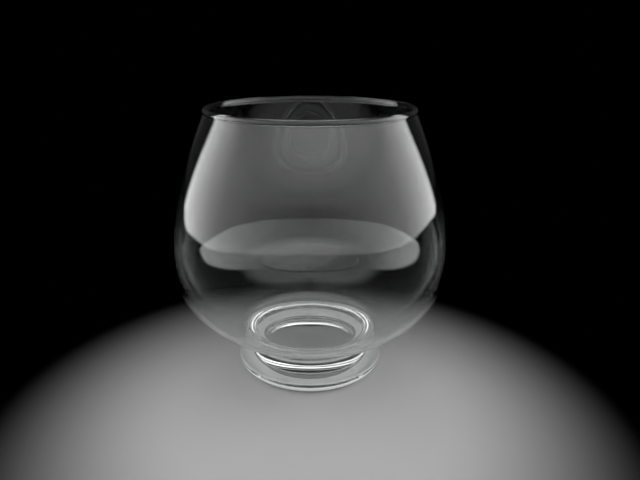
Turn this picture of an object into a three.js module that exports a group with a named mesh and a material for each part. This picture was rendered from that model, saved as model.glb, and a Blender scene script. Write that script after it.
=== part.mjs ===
// Footed glass ball vase: a thin blown bowl with a rounded rim, on a round pressed foot.
//
// The two pieces are turned shapes about the vertical axis. The bowl's flat base pad sits face to
// face on the foot's flat top, where the real glass is welded.
//
// Millimetres and degrees, +Z up. The origin is the centre of the face that the vase stands on.

import * as THREE from 'three';

// Whole vase
const overallHeight = 190;
const segments = 64;

// Bowl
const wallThickness = 2.9;
const bellyRadius = 98.25;
const bellyHeight = 92.5;
const mouthRadius = 69;
const mouthLean = 25;
const rimBeadRadius = 2.15;
const shoulderFullness = 38;
const shoulderReach = 37;
const flankFullness = 45;
const flankReach = 9;

// Underside of the bowl, the neck that joins the foot, and the thick base inside the neck
const undersideRadius = 52;
const undersideHeight = 30.5;
const undersideSlope = 25;
const neckRadius = 42.3;
const neckFilletDrop = 8.8;
const neckFootFillet = 1.4;
const baseThickness = 13.3;
const floorFlatness = 10;
const floorEdgeReach = 11;

// Foot
const footRadius = 53.2;
const footHeight = 10.5;
const footTopFall = 0.55;
const footTopRounding = 1.75;
const footSideBand = 0.4;
const footTuckIn = 9.8;
const footTuckFullness = 0.47;
const restingRingWidth = 5.9;
const hollowDepth = 4.3;
const hollowFlatness = 20;

const radians = THREE.MathUtils.degToRad;
const point = (radius, height) => new THREE.Vector2(radius, height);

// Unit direction in the profile plane, from the radial direction up
const direction = (angle) => point(Math.cos(radians(angle)), Math.sin(radians(angle)));

// Points of a curve, with or without its first one
const trace = (curve, steps, skipFirst = true) => curve.getPoints(steps).slice(skipFirst ? 1 : 0);

// Curve moved sideways by a distance, to the left of its direction
function offset(curve, distance, steps) {
  const moved = [];
  for (let i = 0; i <= steps; i += 1) {
    const tangent = curve.getTangent(i / steps);
    moved.push(curve.getPoint(i / steps).add(point(-tangent.y, tangent.x).multiplyScalar(distance)));
  }
  return moved;
}

// Closed solid from a profile that runs from the axis, up the outside, and back to the axis
function turn(profile) {
  const geometry = new THREE.LatheGeometry(profile, segments);
  geometry.rotateX(Math.PI / 2);
  return geometry;
}

// Rim bead: a round roll along the wall's middle line, which leans in towards the mouth
const beadCentre = point(mouthRadius, overallHeight - rimBeadRadius);
const outward = direction(mouthLean);
const downward = direction(mouthLean - 90);
const beadDrop = Math.sqrt(rimBeadRadius ** 2 - (wallThickness / 2) ** 2);
const rimOuter = beadCentre.clone().addScaledVector(outward, wallThickness / 2).addScaledVector(downward, beadDrop);
const beadGap = Math.asin(wallThickness / 2 / rimBeadRadius);
const beadStart = radians(mouthLean - 90) + beadGap;
const rimBead = new THREE.EllipseCurve(
  beadCentre.x, beadCentre.y, rimBeadRadius, rimBeadRadius, beadStart, beadStart + 2 * Math.PI - 2 * beadGap);

// Outer wall: the flank below the belly and the shoulder above it meet upright at the belly
const belly = point(bellyRadius, bellyHeight);
const undersideEnd = point(undersideRadius, undersideHeight);
const flank = new THREE.CubicBezierCurve(
  undersideEnd,
  undersideEnd.clone().addScaledVector(direction(undersideSlope), flankReach),
  point(bellyRadius, bellyHeight - flankFullness),
  belly);
const shoulder = new THREE.CubicBezierCurve(
  belly,
  point(bellyRadius, bellyHeight + shoulderFullness),
  rimOuter.clone().addScaledVector(downward, shoulderReach),
  rimOuter);

// Neck: a small fillet on the weld, upright above it, then swept out into the bowl's underside
const weldRadius = neckRadius + neckFootFillet;
const neckFoot = new THREE.QuadraticBezierCurve(
  point(weldRadius, footHeight),
  point(neckRadius, footHeight),
  point(neckRadius, footHeight + neckFootFillet));
const neckCorner = undersideEnd.clone().addScaledVector(
  direction(undersideSlope), (neckRadius - undersideRadius) / Math.cos(radians(undersideSlope)));
const neckFilletStart = point(neckRadius, neckCorner.y - neckFilletDrop);
const neckFillet = new THREE.QuadraticBezierCurve(neckFilletStart, neckCorner, undersideEnd);

// Inside: the wall's own thickness in from the outside, then the base's top, level at the axis
const innerShoulder = offset(shoulder, wallThickness, 9).reverse().slice(1);
const innerFlank = offset(flank, wallThickness, 11).reverse().slice(1);
const floorEdge = innerFlank[innerFlank.length - 1];
const floorHeight = footHeight + baseThickness;
const floor = new THREE.CubicBezierCurve(
  floorEdge,
  floorEdge.clone().addScaledVector(direction(undersideSlope), -floorEdgeReach),
  point(floorFlatness, floorHeight),
  point(0, floorHeight));

const bowl = new THREE.Mesh(
  turn([
    point(0, footHeight),
    ...trace(neckFoot, 3, false),
    neckFilletStart,
    ...trace(neckFillet, 4),
    ...trace(flank, 12),
    ...trace(shoulder, 10),
    ...trace(rimBead, 10),
    ...innerShoulder,
    ...innerFlank,
    ...trace(floor, 7),
  ]),
  new THREE.MeshStandardMaterial({
    color: 0xf2f7f6, roughness: 0.03, metalness: 0, transparent: true, opacity: 0.3,
  }));
bowl.name = 'bowl';

// Foot: level on the weld, falling a little to its rounded edge, tucked in below to a narrow resting ring
// around a shallow hollow
const restingRadius = footRadius - footTuckIn;
const hollowRadius = restingRadius - restingRingWidth;
const edgeHeight = footHeight - footTopFall;
const tuckHeight = edgeHeight - footTopRounding - footSideBand;
const footTuck = new THREE.CubicBezierCurve(
  point(restingRadius, 0),
  point(restingRadius + footTuckIn * footTuckFullness, 0),
  point(footRadius, tuckHeight * (1 - footTuckFullness)),
  point(footRadius, tuckHeight));
const footShoulder = new THREE.EllipseCurve(
  footRadius - footTopRounding, edgeHeight - footTopRounding, footTopRounding, footTopRounding, 0, Math.PI / 2);
const hollow = new THREE.CubicBezierCurve(
  point(0, hollowDepth),
  point(hollowFlatness, hollowDepth),
  point(hollowRadius - hollowDepth, hollowDepth / 2),
  point(hollowRadius, 0));

const foot = new THREE.Mesh(
  turn([
    ...trace(hollow, 6, false),
    ...trace(footTuck, 7, false),
    ...trace(footShoulder, 3, false),
    point(weldRadius, footHeight),
    point(0, footHeight),
  ]),
  new THREE.MeshStandardMaterial({
    color: 0xeef5f3, roughness: 0.05, metalness: 0, transparent: true, opacity: 0.35,
  }));
foot.name = 'foot';

const vase = new THREE.Group();
vase.add(bowl, foot);

export default vase;
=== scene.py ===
"""Footed glass ball vase: a thin blown bowl and its pressed foot, dressed in clear glass.

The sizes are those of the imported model's solids. The two glass pieces here follow the same curves with a
finer mesh, because clear glass shows each facet. Light goes straight through the faces that meet where
the real glass is welded.
"""
import logging
import math
from collections.abc import Callable
from dataclasses import dataclass, field
from enum import IntEnum
from typing import Union

import bmesh
import bpy
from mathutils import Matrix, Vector
from mathutils.geometry import interpolate_bezier

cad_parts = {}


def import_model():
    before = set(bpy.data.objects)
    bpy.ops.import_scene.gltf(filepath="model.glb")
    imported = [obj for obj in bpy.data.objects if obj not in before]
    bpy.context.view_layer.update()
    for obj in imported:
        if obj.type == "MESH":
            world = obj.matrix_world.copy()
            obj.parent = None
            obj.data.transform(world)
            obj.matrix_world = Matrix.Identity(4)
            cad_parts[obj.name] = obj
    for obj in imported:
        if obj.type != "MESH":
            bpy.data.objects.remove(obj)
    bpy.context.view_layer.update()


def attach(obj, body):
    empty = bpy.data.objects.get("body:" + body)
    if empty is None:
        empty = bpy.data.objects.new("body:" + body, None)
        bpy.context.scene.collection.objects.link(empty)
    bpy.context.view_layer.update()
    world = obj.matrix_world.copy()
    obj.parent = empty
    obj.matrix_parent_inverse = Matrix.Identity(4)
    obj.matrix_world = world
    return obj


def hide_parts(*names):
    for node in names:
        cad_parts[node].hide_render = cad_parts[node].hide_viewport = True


log = logging.getLogger("vase")

Point = tuple[float, float]
Colour = tuple[float, float, float, float]
Feed = Union[bpy.types.NodeSocket, float, tuple[float, ...]]

MM_PER_METRE = 1000
# Corners this near to each other, in metres, are merged at the axis and where the turn closes
MERGE_DISTANCE = 1e-6
# Corners this near to a disc's height or edge, in millimetres, count as on it
NEAR = 1e-3
# Edges where the surface turns by more degrees than this are shown sharp
SHARP_ANGLE = 32
DEGREES_PER_RADIAN = 180 / math.pi


class Place(IntEnum):
    """Material places of a turned piece."""

    GLASS = 0
    WELD = 1
    GROUND = 2


PlaceOf = Callable[[bmesh.types.BMFace], Place]


def ahead(start: Point, angle: float, distance: float) -> Point:
    """Returns the point at a distance from start, at an angle in degrees from the radial direction up.

    Args:
        start: Radius and height of the first point.
        angle: Direction in degrees, 0 outwards and 90 up.
        distance: How far the new point lies, in the unit of start.

    Returns:
        Radius and height of the new point.
    """
    turn = math.radians(angle)
    return start[0] + distance * math.cos(turn), start[1] + distance * math.sin(turn)


def between(start: Point, end: Point, share: float) -> Point:
    """Returns the point at a share of the way from start to end."""
    return start[0] + (end[0] - start[0]) * share, start[1] + (end[1] - start[1]) * share


def straight(start: Point, end: Point, steps: int) -> list[Point]:
    """Returns points along a straight stretch, both ends included.

    Args:
        start: Radius and height of the first point.
        end: Radius and height of the last point.
        steps: How many parts the stretch is cut into.

    Returns:
        Radius and height of each point.
    """
    return [between(start, end, k / steps) for k in range(steps + 1)]


def sweep(knots: tuple[Point, Point, Point, Point], steps: int) -> list[Point]:
    """Returns points along a cubic curve with two end knots and two handles, both ends included.

    Args:
        knots: First knot, its handle, the last knot's handle, and the last knot.
        steps: How many stretches the curve is cut into.

    Returns:
        Radius and height of each point.
    """
    first, out, back, last = (Vector((r, z, 0.0)) for r, z in knots)
    return [(p.x, p.y) for p in interpolate_bezier(first, out, back, last, steps + 1)]


def fillet(start: Point, corner: Point, end: Point, steps: int) -> list[Point]:
    """Returns points along a quadratic curve that rounds a corner, both ends included.

    Args:
        start: Where the curve leaves the first side.
        corner: Where the two sides would meet.
        end: Where the curve reaches the second side.
        steps: How many stretches the curve is cut into.

    Returns:
        Radius and height of each point.
    """
    # A cubic curve follows a quadratic one when its handles reach this far towards the corner
    reach = 2 / 3
    return sweep((start, between(start, corner, reach), between(end, corner, reach), end), steps)


def arc(centre: Point, radius: float, start: float, end: float, steps: int) -> list[Point]:
    """Returns points along part of a circle, both ends included.

    Args:
        centre: Radius and height of the middle.
        radius: Radius of the circle.
        start: First angle in degrees.
        end: Last angle in degrees.
        steps: How many stretches the arc is cut into.

    Returns:
        Radius and height of each point.
    """
    return [ahead(centre, start + (end - start) * k / steps, radius) for k in range(steps + 1)]


def inside_of(outer: list[Point], wall: float) -> list[Point]:
    """Returns the inner side of a wall whose outer side runs upwards, in reverse order.

    Args:
        outer: Points of the outer side.
        wall: Thickness of the wall.

    Returns:
        Points of the inner side, from the top down.
    """
    moved = []
    for k, (r, z) in enumerate(outer):
        below = outer[max(k - 1, 0)]
        above = outer[min(k + 1, len(outer) - 1)]
        dr, dz = above[0] - below[0], above[1] - below[1]
        length = math.hypot(dr, dz)
        moved.append((r - wall * dz / length, z + wall * dr / length))
    return moved[::-1]


def on_disc(face: bmesh.types.BMFace, height: float, radius: float) -> bool:
    """Returns whether all corners of a face lie on a level disc about the axis.

    Args:
        face: Face to test, in metres.
        height: Height of the disc in millimetres.
        radius: Radius of the disc in millimetres.

    Returns:
        True for a face on the disc.
    """
    level = all(abs(vert.co.z * MM_PER_METRE - height) < NEAR for vert in face.verts)
    return level and all(vert.co.xy.length * MM_PER_METRE < radius + NEAR for vert in face.verts)


def turned(name: str, profile: list[Point], steps: int, place_of: PlaceOf) -> bpy.types.Object:
    """Turns a profile in millimetres about the upright axis into a closed, smooth piece.

    Args:
        name: Name of the piece.
        profile: Points from the axis, round the outside, and back to the axis.
        steps: How many stretches the full turn has.
        place_of: Gives the material place of a face.

    Returns:
        The new object, in metres, at the origin.
    """
    mesh = bpy.data.meshes.new(name)
    form = bmesh.new()
    corners = [form.verts.new((r / MM_PER_METRE, 0.0, z / MM_PER_METRE)) for r, z in profile]
    edges = [form.edges.new(pair) for pair in zip(corners[:-1], corners[1:])]
    bmesh.ops.spin(form, geom=corners + edges, cent=(0, 0, 0), axis=(0, 0, 1), angle=2 * math.pi,
                   steps=steps, use_merge=True, use_duplicate=False)
    bmesh.ops.remove_doubles(form, verts=form.verts, dist=MERGE_DISTANCE)
    bmesh.ops.recalc_face_normals(form, faces=form.faces)
    for face in form.faces:
        face.smooth = True
        face.material_index = place_of(face)
    form.to_mesh(mesh)
    form.free()
    mesh.set_sharp_from_angle(angle=math.radians(SHARP_ANGLE))
    piece = bpy.data.objects.new(name, mesh)
    bpy.context.scene.collection.objects.link(piece)
    return piece


class NodeSheet:
    """A node tree with short calls for the nodes that the finishes and the light tent use."""

    def __init__(self, tree: bpy.types.NodeTree) -> None:
        """Empties the tree and keeps it."""
        self.tree = tree
        tree.nodes.clear()

    def add(self, kind: str, **settings: object) -> bpy.types.Node:
        """Adds a node and sets its properties.

        Args:
            kind: Blender's name of the node type, without its ShaderNode start.
            settings: Properties to set on the node.

        Returns:
            The new node.
        """
        node = self.tree.nodes.new("ShaderNode" + kind)
        for key, value in settings.items():
            setattr(node, key, value)
        return node

    def put(self, socket: bpy.types.NodeSocket, value: Feed) -> None:
        """Links an output to the socket, or sets the socket's own value.

        Args:
            socket: Input to fill.
            value: An output socket, a number or a colour.
        """
        if isinstance(value, bpy.types.NodeSocket):
            self.tree.links.new(value, socket)
        else:
            socket.default_value = value

    def math(self, operation: str, *values: Feed) -> bpy.types.NodeSocket:
        """Returns the output of a Math node with these inputs.

        Args:
            operation: Name of the operation.
            values: Numbers or output sockets.

        Returns:
            The result's socket.
        """
        node = self.add("Math", operation=operation)
        for socket, value in zip(node.inputs, values):
            self.put(socket, value)
        return node.outputs[0]

    def ramp(self, value: Feed, low: float, high: float, start: float = 0.0,
             end: float = 1.0) -> bpy.types.NodeSocket:
        """Returns a smooth step of a value between two limits.

        Args:
            value: Socket to read.
            low: Where the step begins.
            high: Where the step ends.
            start: Result at and before the beginning.
            end: Result at and past the end.

        Returns:
            The result's socket.
        """
        node = self.add("MapRange", interpolation_type="SMOOTHSTEP", clamp=True)
        for socket, given in zip(node.inputs, (value, low, high, start, end)):
            self.put(socket, given)
        return node.outputs[0]

    def past(self, value: Feed, edge: Feed, softness: float, end: float = 1.0) -> bpy.types.NodeSocket:
        """Returns a smooth step from 0 at values below an edge to a result at values above it.

        Args:
            value: Socket to read.
            edge: Where the middle of the step is.
            softness: Half of the step's width.
            end: Result past the step.

        Returns:
            The result's socket.
        """
        return self.ramp(self.math("SUBTRACT", value, edge), -softness, softness, 0.0, end)

    def through(self, value: Feed, points: tuple[Point, ...]) -> bpy.types.NodeSocket:
        """Returns the height of a line through points, level past its two ends.

        Args:
            value: Socket to read.
            points: Place and height of each point, in order of place.

        Returns:
            The height's socket.
        """
        places = [place for place, _ in points]
        heights = [height for _, height in points]
        reach = places[-1] - places[0]
        low, rise = min(heights), max(heights) - min(heights)
        share = self.add("MapRange", clamp=True)
        for socket, given in zip(share.inputs, (value, places[0], places[-1], 0.0, 1.0)):
            self.put(socket, given)
        line = self.add("ValToRGB")
        stops = line.color_ramp.elements
        for place in places[1:-1]:
            stops.new((place - places[0]) / reach)
        for stop, height in zip(stops, heights):
            level = (height - low) / rise
            stop.color = (level, level, level, 1.0)
        self.put(line.inputs[0], share.outputs[0])
        return self.math("MULTIPLY_ADD", line.outputs["Color"], rise, low)

    def noise(self, size: float, detail: float, stretch: float = 1.0) -> bpy.types.NodeSocket:
        """Returns noise over the object, 0 to 1.

        Args:
            size: Size of the noise's features in metres.
            detail: Octaves of finer noise.
            stretch: How many times longer the features are upright than across.

        Returns:
            The noise value's socket.
        """
        place = self.add("TexCoord")
        mapping = self.add("Mapping")
        self.put(mapping.inputs["Vector"], place.outputs["Object"])
        self.put(mapping.inputs["Scale"], (1.0, 1.0, 1.0 / stretch))
        noise = self.add("TexNoise", noise_dimensions="3D")
        self.put(noise.inputs["Vector"], mapping.outputs["Vector"])
        self.put(noise.inputs["Scale"], 1.0 / size)
        self.put(noise.inputs["Detail"], detail)
        return noise.outputs[0]

    def blend(self, share: bpy.types.NodeSocket, first: Colour, second: Colour) -> bpy.types.NodeSocket:
        """Returns a colour that goes from the first to the second one as the share goes from 0 to 1.

        Args:
            share: Socket with the share of the second colour.
            first: Colour at a share of 0.
            second: Colour at a share of 1.

        Returns:
            The colour's socket.
        """
        colours = self.add("Mix", data_type="RGBA")
        self.put(colours.inputs["Factor"], share)
        self.put(colours.inputs["A"], first)
        self.put(colours.inputs["B"], second)
        return colours.outputs["Result"]


def start_material(name: str, kind: str) -> tuple[bpy.types.Material, NodeSheet, bpy.types.Node]:
    """Makes a material with one shader on its output.

    Args:
        name: Name of the material.
        kind: Blender's name of the shader, without its ShaderNode start.

    Returns:
        The material, its node sheet and the shader.
    """
    material = bpy.data.materials.new(name)
    material.use_nodes = True
    sheet = NodeSheet(material.node_tree)
    output = sheet.add("OutputMaterial")
    shader = sheet.add(kind)
    sheet.put(output.inputs["Surface"], shader.outputs[0])
    return material, sheet, shader


@dataclass(frozen=True)
class ClearGlass:
    """Clear colourless glass with the faint waves of its making and a little wear.

    Attributes:
        name: Name of the finish.
        tint: Colour where the glass is plain.
        tint_deep: Colour in the faintly deeper patches.
        patch_size: Size of the patches in metres.
        patch_detail: Octaves of finer noise in the patches.
        patch_limits: Noise values where the plain colour ends and the deeper one is full.
        bend: Index of refraction.
        mirror: How strongly the glass mirrors face on, 1 for plain glass.
        wave_size: Size of the waves in metres.
        wave_height: Height of the waves in metres.
        wave_detail: Octaves of finer noise in the waves.
        wave_stretch: How many times longer the waves are upright than across.
        wear_top: Height in metres up to which the resting ring is scuffed, 0 for none.
        wear_full: Share of that height below which the wear is full.
        wear: Roughness of the scuffs.
        scuff_size: Size of the scuffs in metres.
        scuff_detail: Octaves of finer noise in the scuffs.
        scuff_limits: Noise values where a scuff begins and is full.
    """

    name: str
    tint: Colour
    tint_deep: Colour
    patch_size: float = 0.03
    patch_detail: float = 3.0
    patch_limits: tuple[float, float] = (0.3, 0.7)
    bend: float = 1.52
    mirror: float = 0.7
    wave_size: float = 0.05
    wave_height: float = 0.00005
    wave_detail: float = 1.0
    wave_stretch: float = 1.0
    wear_top: float = 0.0
    wear_full: float = 0.4
    wear: float = 0.0
    scuff_size: float = 0.0012
    scuff_detail: float = 4.0
    scuff_limits: tuple[float, float] = (0.45, 0.7)

    def material(self) -> bpy.types.Material:
        """Makes the finish's material.

        Returns:
            The new material.
        """
        material, sheet, shader = start_material(self.name, "BsdfPrincipled")
        patches = sheet.ramp(sheet.noise(self.patch_size, self.patch_detail), *self.patch_limits)
        sheet.put(shader.inputs["Base Color"], sheet.blend(patches, self.tint, self.tint_deep))
        sheet.put(shader.inputs["Transmission Weight"], 1.0)
        sheet.put(shader.inputs["IOR"], self.bend)
        sheet.put(shader.inputs["Specular Tint"], (self.mirror, self.mirror, self.mirror, 1.0))
        sheet.put(shader.inputs["Roughness"], self.scuffs(sheet) if self.wear_top > 0 else 0.0)
        sheet.put(shader.inputs["Normal"], self.waves(sheet))
        return material

    def waves(self, sheet: NodeSheet) -> bpy.types.NodeSocket:
        """Returns the surface's direction with the glass's waves.

        Args:
            sheet: The material's node sheet.

        Returns:
            The direction's socket.
        """
        bump = sheet.add("Bump")
        sheet.put(bump.inputs["Strength"], 1.0)
        sheet.put(bump.inputs["Distance"], self.wave_height)
        sheet.put(bump.inputs["Height"], sheet.noise(self.wave_size, self.wave_detail, self.wave_stretch))
        return bump.outputs["Normal"]

    def scuffs(self, sheet: NodeSheet) -> bpy.types.NodeSocket:
        """Returns the roughness of the fine scuffs near the table.

        Args:
            sheet: The material's node sheet.

        Returns:
            The roughness's socket.
        """
        place = sheet.add("TexCoord")
        split = sheet.add("SeparateXYZ")
        sheet.put(split.inputs[0], place.outputs["Object"])
        low = sheet.ramp(split.outputs["Z"], self.wear_top * self.wear_full, self.wear_top, 1.0, 0.0)
        scuffed = sheet.ramp(sheet.noise(self.scuff_size, self.scuff_detail), *self.scuff_limits)
        return sheet.math("MULTIPLY", sheet.math("MULTIPLY", low, scuffed), self.wear)


@dataclass(frozen=True)
class WeldedGlass:
    """The melted joint inside the glass, where light goes straight through."""

    name: str = "welded_glass"

    def material(self) -> bpy.types.Material:
        """Returns the finish as a material."""
        return start_material(self.name, "BsdfTransparent")[0]


@dataclass(frozen=True)
class GroundGlass:
    """The ground underside of the foot, white where light falls on it through the glass.

    Attributes:
        name: Name of the finish.
        white: Colour of the ground surface.
        grey: Colour in its duller patches.
        patch_size: Size of the patches in metres.
        patch_detail: Octaves of finer noise in the patches.
        patch_limits: Noise values where the white ends and the grey is full.
        roughness: Roughness of the ground surface.
    """

    name: str = "ground_glass"
    white: Colour = (0.98, 0.985, 0.985, 1.0)
    grey: Colour = (0.84, 0.86, 0.86, 1.0)
    patch_size: float = 0.008
    patch_detail: float = 4.0
    patch_limits: tuple[float, float] = (0.58, 0.7)
    roughness: float = 0.8

    def material(self) -> bpy.types.Material:
        """Makes the finish's material.

        Returns:
            The new material.
        """
        material, sheet, shader = start_material(self.name, "BsdfPrincipled")
        patches = sheet.ramp(sheet.noise(self.patch_size, self.patch_detail), *self.patch_limits)
        sheet.put(shader.inputs["Base Color"], sheet.blend(patches, self.white, self.grey))
        sheet.put(shader.inputs["Roughness"], self.roughness)
        sheet.put(shader.inputs["Specular IOR Level"], 0.0)
        return material


BLOWN_GLASS = ClearGlass(
    "blown_glass", tint=(0.985, 0.995, 0.992, 1.0), tint_deep=(0.975, 0.992, 0.988, 1.0), wave_stretch=2.0)
PRESSED_GLASS = ClearGlass(
    "pressed_glass", tint=(0.975, 0.992, 0.988, 1.0), tint_deep=(0.965, 0.988, 0.983, 1.0),
    wave_size=0.02, wave_height=0.00002, wear_top=0.0009, wear=0.3)


@dataclass
class BlownBowl:
    """The bowl: base pad, neck, underside, ball, shoulder and rolled rim, in millimetres and degrees.

    Attributes:
        overall_height: Height of the whole vase.
        wall: Thickness of the wall.
        belly_radius: Outer radius of the ball at its widest.
        belly_height: Height of the widest place.
        mouth_radius: Radius of the middle of the rim's roll.
        mouth_lean: How far the wall leans in below the rim.
        rim_bead_radius: Radius of the rim's roll.
        shoulder_fullness: Length of the shoulder's handle at the belly.
        shoulder_reach: Length of the shoulder's handle at the rim.
        flank_fullness: Length of the flank's handle at the belly.
        flank_reach: Length of the flank's handle at the underside.
        underside_radius: Outer radius where the neck's fillet ends and the ball begins.
        underside_height: Height of that place.
        underside_slope: Slope of the outside there.
        neck_radius: Outer radius of the upright neck.
        neck_fillet_drop: How far below the neck's corner its fillet begins.
        neck_foot_fillet: Size of the small fillet on the weld.
        base_height: Height of the weld above the table.
        base_thickness: Thickness of the base at the axis.
        floor_flatness: Length of the floor's handle at the axis.
        floor_edge_reach: Length of the floor's handle at its edge.
        turn_steps: Stretches of the full turn.
        pad_steps: Stretches of the flat base pad.
        foot_fillet_steps: Stretches of the small fillet.
        neck_fillet_steps: Stretches of the neck's fillet.
        flank_steps: Stretches of the flank.
        shoulder_steps: Stretches of the shoulder.
        bead_steps: Stretches of the rim's roll.
        floor_steps: Stretches of the floor.
    """

    overall_height: float = 190.0
    wall: float = 2.9
    belly_radius: float = 98.25
    belly_height: float = 92.5
    mouth_radius: float = 69.0
    mouth_lean: float = 25.0
    rim_bead_radius: float = 2.15
    shoulder_fullness: float = 38.0
    shoulder_reach: float = 37.0
    flank_fullness: float = 45.0
    flank_reach: float = 9.0
    underside_radius: float = 52.0
    underside_height: float = 30.5
    underside_slope: float = 25.0
    neck_radius: float = 42.3
    neck_fillet_drop: float = 8.8
    neck_foot_fillet: float = 1.4
    base_height: float = 10.5
    base_thickness: float = 13.3
    floor_flatness: float = 10.0
    floor_edge_reach: float = 11.0
    turn_steps: int = 192
    pad_steps: int = 6
    foot_fillet_steps: int = 8
    neck_fillet_steps: int = 16
    flank_steps: int = 48
    shoulder_steps: int = 40
    bead_steps: int = 28
    floor_steps: int = 30

    @property
    def weld_radius(self) -> float:
        """Radius of the flat disc that is melted to the foot."""
        return self.neck_radius + self.neck_foot_fillet

    @property
    def underside(self) -> Point:
        """Where the neck's fillet ends and the ball begins."""
        return self.underside_radius, self.underside_height

    def neck(self) -> list[Point]:
        """Returns the outside of the neck, from the weld's edge up to the underside.

        Returns:
            Radius and height of each point.
        """
        foot_corner = (self.neck_radius, self.base_height)
        above = (self.neck_radius, self.base_height + self.neck_foot_fillet)
        low = fillet((self.weld_radius, self.base_height), foot_corner, above, self.foot_fillet_steps)
        inwards = (self.neck_radius - self.underside_radius) / math.cos(math.radians(self.underside_slope))
        corner = ahead(self.underside, self.underside_slope, inwards)
        neck_top = (self.neck_radius, corner[1] - self.neck_fillet_drop)
        return low + fillet(neck_top, corner, self.underside, self.neck_fillet_steps)

    def ball(self, wall_top: Point) -> list[Point]:
        """Returns the outside of the ball, from the underside over the belly to the top of the wall.

        Args:
            wall_top: The outer wall's last point below the rolled rim.

        Returns:
            Radius and height of each point.
        """
        belly = (self.belly_radius, self.belly_height)
        flank_start = ahead(self.underside, self.underside_slope, self.flank_reach)
        flank_end = (self.belly_radius, self.belly_height - self.flank_fullness)
        flank = sweep((self.underside, flank_start, flank_end, belly), self.flank_steps)
        shoulder_start = (self.belly_radius, self.belly_height + self.shoulder_fullness)
        shoulder_end = ahead(wall_top, self.mouth_lean - 90, self.shoulder_reach)
        shoulder = sweep((belly, shoulder_start, shoulder_end, wall_top), self.shoulder_steps)
        return flank + shoulder[1:]

    def rim(self) -> tuple[Point, list[Point]]:
        """Works out the rolled rim, which sits on the leaning middle line of the wall.

        Returns:
            The outer wall's last point, and the points of the roll after it.
        """
        half = self.wall / 2
        centre = (self.mouth_radius, self.overall_height - self.rim_bead_radius)
        drop = math.sqrt(self.rim_bead_radius ** 2 - half ** 2)
        wall_top = ahead(ahead(centre, self.mouth_lean, half), self.mouth_lean - 90, drop)
        gap = math.degrees(math.asin(half / self.rim_bead_radius))
        start = self.mouth_lean - 90 + gap
        bead = arc(centre, self.rim_bead_radius, start, start + 360 - 2 * gap, self.bead_steps)
        return wall_top, bead[1:]

    def floor(self, edge: Point) -> list[Point]:
        """Returns the top of the thick base, from the inner wall to the axis.

        Args:
            edge: The inner wall's last point.

        Returns:
            Radius and height of each point.
        """
        height = self.base_height + self.base_thickness
        out = ahead(edge, self.underside_slope, -self.floor_edge_reach)
        return sweep((edge, out, (self.floor_flatness, height), (0.0, height)), self.floor_steps)

    def profile(self) -> list[Point]:
        """Returns the bowl's outline from the axis, up the outside, and down the inside.

        Returns:
            Radius and height of each point.
        """
        wall_top, bead = self.rim()
        outer = self.ball(wall_top)
        inner = inside_of(outer, self.wall)
        pad = straight((0.0, self.base_height), (self.weld_radius, self.base_height), self.pad_steps)
        return pad[:-1] + self.neck() + outer[1:] + bead + inner[1:] + self.floor(inner[-1])[1:]

    def place_of(self, face: bmesh.types.BMFace) -> Place:
        """Returns the material place of a face: the weld's on the disc that meets the foot."""
        return Place.WELD if on_disc(face, self.base_height, self.weld_radius) else Place.GLASS

    def build(self) -> bpy.types.Object:
        """Returns the bowl as an object, still without its materials."""
        return turned("blown_bowl", self.profile(), self.turn_steps, self.place_of)

    def dress(self, piece: bpy.types.Object, weld: bpy.types.Material) -> None:
        """Gives the bowl its materials in the order of their places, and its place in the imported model.

        Args:
            piece: The built bowl.
            weld: Material of the melted joint.
        """
        piece.data.materials.append(BLOWN_GLASS.material())
        piece.data.materials.append(weld)
        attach(piece, "root")
        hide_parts("bowl")


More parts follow.
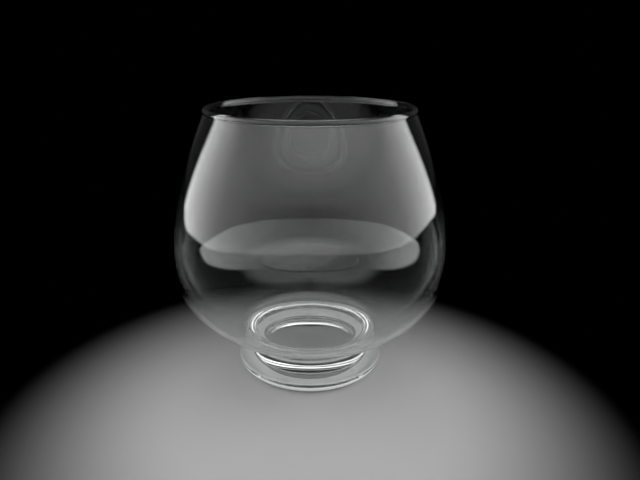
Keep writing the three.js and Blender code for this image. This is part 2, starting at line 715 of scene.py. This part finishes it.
@dataclass
class PressedFoot:
    """The foot: rounded disc, tucked in below to its resting ring, hollow beneath, in millimetres.

    Attributes:
        radius: Outer radius.
        height: Height of the flat top at the weld.
        top_fall: How much lower the top is at its rounded edge.
        top_rounding: Radius of that edge.
        side_band: Height of the upright band below it.
        tuck_in: How far the side is drawn in at the table.
        tuck_fullness: Length of the side's handles, as a share of its width and of its height.
        resting_ring: Width of the flat ring that the vase stands on.
        hollow_depth: Depth of the hollow at the axis.
        hollow_flatness: Length of the hollow's handle at the axis.
        weld_radius: Radius of the flat disc that is melted to the bowl.
        ground_radius: Radius outside which the underside is ground.
        ground_facing: Upward part of a face's direction below which the face counts as underside.
        turn_steps: Stretches of the full turn.
        hollow_steps: Stretches of the hollow.
        tuck_steps: Stretches of the tucked-in side.
        shoulder_steps: Stretches of the rounded edge.
        top_steps: Stretches of the top outside the weld.
        weld_steps: Stretches of the welded disc.
    """

    radius: float = 53.2
    height: float = 10.5
    top_fall: float = 0.55
    top_rounding: float = 1.75
    side_band: float = 0.4
    tuck_in: float = 9.8
    tuck_fullness: float = 0.47
    resting_ring: float = 5.9
    hollow_depth: float = 4.3
    hollow_flatness: float = 20.0
    weld_radius: float = 43.7
    ground_radius: float = 39.3
    ground_facing: float = -0.2
    turn_steps: int = 192
    hollow_steps: int = 30
    tuck_steps: int = 18
    shoulder_steps: int = 10
    top_steps: int = 4
    weld_steps: int = 6

    @property
    def resting_radius(self) -> float:
        """Outer radius of the ring that the vase stands on."""
        return self.radius - self.tuck_in

    def underside(self) -> list[Point]:
        """Returns the hollow beneath the foot, from the axis to the resting ring.

        Returns:
            Radius and height of each point.
        """
        edge = self.resting_radius - self.resting_ring
        flat = (self.hollow_flatness, self.hollow_depth)
        slope = (edge - self.hollow_depth, self.hollow_depth / 2)
        return sweep(((0.0, self.hollow_depth), flat, slope, (edge, 0.0)), self.hollow_steps)

    def side(self, edge_height: float) -> list[Point]:
        """Returns the tucked-in side from the resting ring up, and the rounded edge of the top.

        Args:
            edge_height: Height of the top at its rounded edge.

        Returns:
            Radius and height of each point.
        """
        band = edge_height - self.top_rounding - self.side_band
        out = (self.resting_radius + self.tuck_in * self.tuck_fullness, 0.0)
        back = (self.radius, band * (1 - self.tuck_fullness))
        tuck = sweep(((self.resting_radius, 0.0), out, back, (self.radius, band)), self.tuck_steps)
        centre = (self.radius - self.top_rounding, edge_height - self.top_rounding)
        return tuck + arc(centre, self.top_rounding, 0, 90, self.shoulder_steps)

    def profile(self) -> list[Point]:
        """Returns the foot's outline from the axis, round below and outside, and back over the top.

        Returns:
            Radius and height of each point.
        """
        edge_height = self.height - self.top_fall
        ground_edge = (self.ground_radius, 0.0)
        top_edge = (self.radius - self.top_rounding, edge_height)
        weld_edge = (self.weld_radius, self.height)
        top = straight(top_edge, weld_edge, self.top_steps)
        weld = straight(weld_edge, (0.0, self.height), self.weld_steps)
        return self.underside() + [ground_edge] + self.side(edge_height) + top[1:] + weld[1:]

    def place_of(self, face: bmesh.types.BMFace) -> Place:
        """Returns the weld's place on top, the ground one on the outer underside, and else the glass's.

        Args:
            face: Face to look at, in metres.

        Returns:
            The face's material place.
        """
        if on_disc(face, self.height, self.weld_radius):
            return Place.WELD
        outside = all(vert.co.xy.length * MM_PER_METRE > self.ground_radius - NEAR for vert in face.verts)
        return Place.GROUND if outside and face.normal.z < self.ground_facing else Place.GLASS

    def build(self) -> bpy.types.Object:
        """Returns the foot as an object, still without its materials."""
        return turned("pressed_foot", self.profile(), self.turn_steps, self.place_of)

    def dress(self, piece: bpy.types.Object, weld: bpy.types.Material) -> None:
        """Gives the foot its materials in the order of their places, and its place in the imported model.

        Args:
            piece: The built foot.
            weld: Material of the melted joint.
        """
        piece.data.materials.append(PRESSED_GLASS.material())
        piece.data.materials.append(weld)
        piece.data.materials.append(GroundGlass().material())
        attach(piece, "root")
        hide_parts("foot")


@dataclass(frozen=True)
class LightTent:
    """The soft light around the vase by direction, in degrees.

    Azimuths run from 0 towards the camera, left below 0 and right above. A softness is half the width of
    an edge. The strengths multiply the tent's colour.

    Attributes:
        colour: Colour of the tent.
        levels: Azimuth and strength along the tent's walls.
        wall_fall: Elevation and share of the walls' strength that is left there.
        overhead: Elevation and strength added to the walls' one.
        overhead_side: Azimuth and share of the overhead strength.
        lower_edge: Azimuth and elevation along the tent's lower edge.
        lower_softness: Softness of the lower edge.
        rear_edge: Elevation and azimuth, to both sides, of the edges where the tent ends behind the vase.
        rear_softness: Softness of the rear edges.
        crown_edge: Azimuth to both sides and elevation above which the ceiling behind the edges is lit.
        crown_softness: Softness of the ceiling's edge.
        crown: Strength of that ceiling.
        dusk: Strength of the dim room behind the edges.
        dusk_softness: Softness of the level edge below which the room is black.
    """

    colour: Colour = (0.8, 0.8, 0.8, 1.0)
    levels: tuple[Point, ...] = (
        (-121.0, 3.85), (-105.0, 3.5), (-95.0, 3.0), (-75.0, 1.8), (-50.0, 1.2), (-25.0, 0.88),
        (0.0, 0.71), (25.0, 0.85), (50.0, 1.2), (75.0, 1.95), (95.0, 2.95), (108.0, 3.35), (121.0, 3.6))
    wall_fall: tuple[Point, ...] = ((0.0, 1.0), (25.0, 1.0), (50.0, 0.45), (90.0, 0.35))
    overhead: tuple[Point, ...] = (
        (0.0, 0.0), (28.0, 0.14), (34.0, 1.15), (41.0, 2.28), (50.0, 2.28), (62.0, 1.78), (74.0, 1.78),
        (90.0, 0.9))
    overhead_side: tuple[Point, ...] = (
        (-95.0, 0.0), (-65.0, 0.15), (-35.0, 0.75), (0.0, 1.0), (25.0, 1.0), (60.0, 0.8), (95.0, 0.2))
    lower_edge: tuple[Point, ...] = (
        (-121.0, -2.8), (-118.7, -4.4), (-116.8, -6.2), (-112.0, -7.7), (-100.0, -7.6), (-83.0, -7.9),
        (-71.0, -6.8), (-53.0, -4.4), (-30.0, -1.7), (0.0, -0.1), (30.0, -1.7), (53.0, -3.9),
        (75.0, -4.9), (88.0, -4.5), (97.0, -3.7), (108.0, -3.6), (118.7, -4.3), (121.0, -2.8))
    lower_softness: float = 0.6
    rear_edge: tuple[Point, ...] = (
        (-2.0, 121.5), (10.0, 121.0), (14.0, 119.5), (35.0, 111.0), (60.0, 97.0), (80.0, 90.0))
    rear_softness: float = 2.0
    crown_edge: tuple[Point, ...] = ((100.0, 48.0), (130.0, 61.0), (150.0, 71.0), (180.0, 79.0))
    crown_softness: float = 10.0
    crown: float = 1.15
    dusk: float = 0.03
    dusk_softness: float = 1.0

    def strength(self, sheet: NodeSheet, x: Feed, y: Feed, z: Feed) -> bpy.types.NodeSocket:
        """Returns the tent's strength for a direction.

        Args:
            sheet: The world's node sheet.
            x: Direction to the right.
            y: Direction away from the camera.
            z: Direction up.

        Returns:
            The strength's socket.
        """
        turn = sheet.math("ARCTAN2", x, sheet.math("MULTIPLY", y, -1.0))
        azimuth = sheet.math("MULTIPLY", turn, DEGREES_PER_RADIAN)
        aside = sheet.math("ABSOLUTE", azimuth)
        elevation = sheet.math("MULTIPLY", sheet.math("ARCSINE", z), DEGREES_PER_RADIAN)

        fall = sheet.through(elevation, self.wall_fall)
        walls = sheet.math("MULTIPLY", sheet.through(azimuth, self.levels), fall)
        side = sheet.through(azimuth, self.overhead_side)
        roof = sheet.math("MULTIPLY", sheet.through(elevation, self.overhead), side)
        above = sheet.past(elevation, sheet.through(azimuth, self.lower_edge), self.lower_softness)
        within = sheet.past(sheet.through(elevation, self.rear_edge), aside, self.rear_softness)
        tent = sheet.math("MULTIPLY", sheet.math("MULTIPLY", sheet.math("ADD", walls, roof), within), above)

        crown_edge = sheet.through(aside, self.crown_edge)
        ceiling = sheet.past(elevation, crown_edge, self.crown_softness, self.crown)
        room = sheet.past(elevation, 0.0, self.dusk_softness, self.dusk)
        return sheet.math("MAXIMUM", tent, sheet.math("MAXIMUM", ceiling, room))


@dataclass
class Studio:
    """Pale floor with a painted light pool, its colour painted darker away from the vase, dark
    surroundings, a soft light tent open behind the vase, and the camera.

    Attributes:
        floor_colour: Colour of the floor under the vase.
        floor_painted_shade: Painted shade, the colour of the floor past the painted light pool.
        floor_reach: Radius of the floor in metres.
        floor_sides: Sides of the floor's outline.
        floor_drop: How far the floor lies below the resting ring, in metres.
        floor_roughness: Roughness of the floor.
        painted_light_pool: Distances in metres from the pool's middle where the floor's painted shade
            begins and is full.
        painted_pool_forward: How far the painted light pool's middle lies in front of the vase, in metres.
        backdrop: Strength of the plain backdrop.
        mirror_limit: Ray depth past the transmission depth from which a ray has been mirrored.
        camera_distance: Level distance from the vase's axis to the camera, in metres.
        camera_height: Height of the camera in metres.
        camera_pitch: Degrees that the camera looks down.
        sensor: Width of the camera's sensor in millimetres.
        lens: Focal length in millimetres.
        shift: How far the picture's middle lies beside the camera's aim, as a share of its width.
        all_bounces: Most bounces in all.
        glass_bounces: Most passes through glass.
        mirror_bounces: Most mirrorings.
        dull_bounces: Most bounces off dull surfaces.
        weld_passes: Most passes through the welded faces.
        tent: The light tent.
    """

    floor_colour: Colour = (0.4, 0.4, 0.4, 1.0)
    # Painted shade: the floor is painted this colour past the painted light pool
    floor_painted_shade: Colour = (0.0, 0.0, 0.0, 1.0)
    floor_reach: float = 0.62
    floor_sides: int = 128
    floor_drop: float = 0.0001
    floor_roughness: float = 0.9
    # Painted light pool: the floor is pale near the vase and painted darker away from it
    painted_light_pool: tuple[float, float] = (0.08, 0.21)
    painted_pool_forward: float = 0.07
    backdrop: float = 0.0
    mirror_limit: float = 1.5
    camera_distance: float = 0.3877
    camera_height: float = 0.2330
    camera_pitch: float = 19.507
    sensor: float = 36.0
    lens: float = 32.19
    shift: float = 10 / 640
    all_bounces: int = 24
    glass_bounces: int = 24
    mirror_bounces: int = 12
    dull_bounces: int = 6
    weld_passes: int = 32
    tent: LightTent = field(default_factory=LightTent)

    def place_camera(self) -> None:
        """Sets the camera at the photograph's angle."""
        camera = bpy.data.cameras.new("camera")
        holder = bpy.data.objects.new("camera", camera)
        bpy.context.scene.collection.objects.link(holder)
        holder.location = (0.0, -self.camera_distance, self.camera_height)
        holder.rotation_euler = (math.radians(90 - self.camera_pitch), 0.0, 0.0)
        camera.sensor_width = self.sensor
        camera.lens = self.lens
        camera.shift_x = self.shift
        bpy.context.scene.camera = holder

    def lay_floor(self) -> bpy.types.Object:
        """Makes the floor, pale under the vase, with a painted light pool: its colour fades to black around
        it as painted shade.

        Returns:
            The floor's object.
        """
        mesh = bpy.data.meshes.new("floor")
        form = bmesh.new()
        bmesh.ops.create_circle(form, cap_ends=True, radius=self.floor_reach, segments=self.floor_sides)
        bmesh.ops.translate(form, verts=form.verts, vec=(0.0, 0.0, -self.floor_drop))
        form.to_mesh(mesh)
        form.free()
        mesh.materials.append(self.floor_material())
        floor = bpy.data.objects.new("floor", mesh)
        bpy.context.scene.collection.objects.link(floor)
        return floor

    def floor_material(self) -> bpy.types.Material:
        """Makes the floor's dull finish, a painted light pool: pale near the vase, its colour fading to the
        painted shade colour past it.

        Returns:
            The new material.
        """
        material, sheet, shader = start_material("floor_painted_light_pool", "BsdfPrincipled")
        place = sheet.add("TexCoord")
        moved = sheet.add("VectorMath", operation="ADD")
        sheet.put(moved.inputs[0], place.outputs["Object"])
        sheet.put(moved.inputs[1], (0.0, self.painted_pool_forward, 0.0))
        length = sheet.add("VectorMath", operation="LENGTH")
        sheet.put(length.inputs[0], moved.outputs["Vector"])
        # Painted shade: the floor's colour fades from pale to black away from the vase, a painted light
        # pool
        painted_shade_share = sheet.ramp(length.outputs["Value"], *self.painted_light_pool)
        sheet.put(shader.inputs["Base Color"], sheet.blend(painted_shade_share, self.floor_colour, self.floor_painted_shade))
        sheet.put(shader.inputs["Roughness"], self.floor_roughness)
        sheet.put(shader.inputs["Specular IOR Level"], 0.0)
        return material

    def raise_tent(self) -> None:
        """Makes the world: the light tent, and a plain backdrop around the vase and straight through it."""
        world = bpy.data.worlds.new("light_tent")
        bpy.context.scene.world = world
        world.use_nodes = True
        sheet = NodeSheet(world.node_tree)
        output = sheet.add("OutputWorld")
        background = sheet.add("Background")
        sheet.put(output.inputs["Surface"], background.outputs[0])
        sheet.put(background.inputs["Color"], self.tent.colour)
        place = sheet.add("TexCoord")
        split = sheet.add("SeparateXYZ")
        sheet.put(split.inputs[0], place.outputs["Generated"])
        plain = self.sees_backdrop(sheet)
        strength = self.tent.strength(sheet, *split.outputs)
        lit = sheet.math("MULTIPLY", strength, sheet.math("SUBTRACT", 1.0, plain))
        sheet.put(background.inputs["Strength"], sheet.math("MULTIPLY_ADD", plain, self.backdrop, lit))

    def sees_backdrop(self, sheet: NodeSheet) -> bpy.types.NodeSocket:
        """Returns 1 for a ray from the camera, also after glass that hasn't mirrored it, and else 0.

        Args:
            sheet: The world's node sheet.

        Returns:
            The result's socket.
        """
        path = sheet.add("LightPath")
        # Ray depth counts the last stretch too, so it is one ahead for a ray that nothing has mirrored
        ahead_by = sheet.math("SUBTRACT", path.outputs["Ray Depth"], path.outputs["Transmission Depth"])
        unmirrored = sheet.math("LESS_THAN", ahead_by, self.mirror_limit)
        through = sheet.math("MULTIPLY", path.outputs["Is Transmission Ray"], unmirrored)
        return sheet.math("MAXIMUM", path.outputs["Is Camera Ray"], through)

    def set_bounces(self) -> None:
        """Gives light enough bounces to get through both glass walls and the thick foot."""
        cycles = bpy.context.scene.cycles
        cycles.max_bounces = self.all_bounces
        cycles.transmission_bounces = self.glass_bounces
        cycles.glossy_bounces = self.mirror_bounces
        cycles.diffuse_bounces = self.dull_bounces
        cycles.transparent_max_bounces = self.weld_passes

    def set_up(self) -> None:
        """Puts up the camera, the floor and the light, and shows colours as they are."""
        self.place_camera()
        self.lay_floor()
        self.raise_tent()
        self.set_bounces()
        bpy.context.scene.view_settings.view_transform = "Standard"


def main() -> None:
    """Builds the studio and the vase in order and reports each piece."""
    logging.basicConfig(level=logging.INFO, format="%(name)s: %(message)s")
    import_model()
    Studio().set_up()

    weld = WeldedGlass().material()
    for form in (BlownBowl(), PressedFoot()):
        piece = form.build()
        form.dress(piece, weld)
        finish = piece.data.materials[Place.GLASS].name
        log.info("%s: %d faces, %s", piece.name, len(piece.data.polygons), finish)


if __name__ == "__main__":
    main()
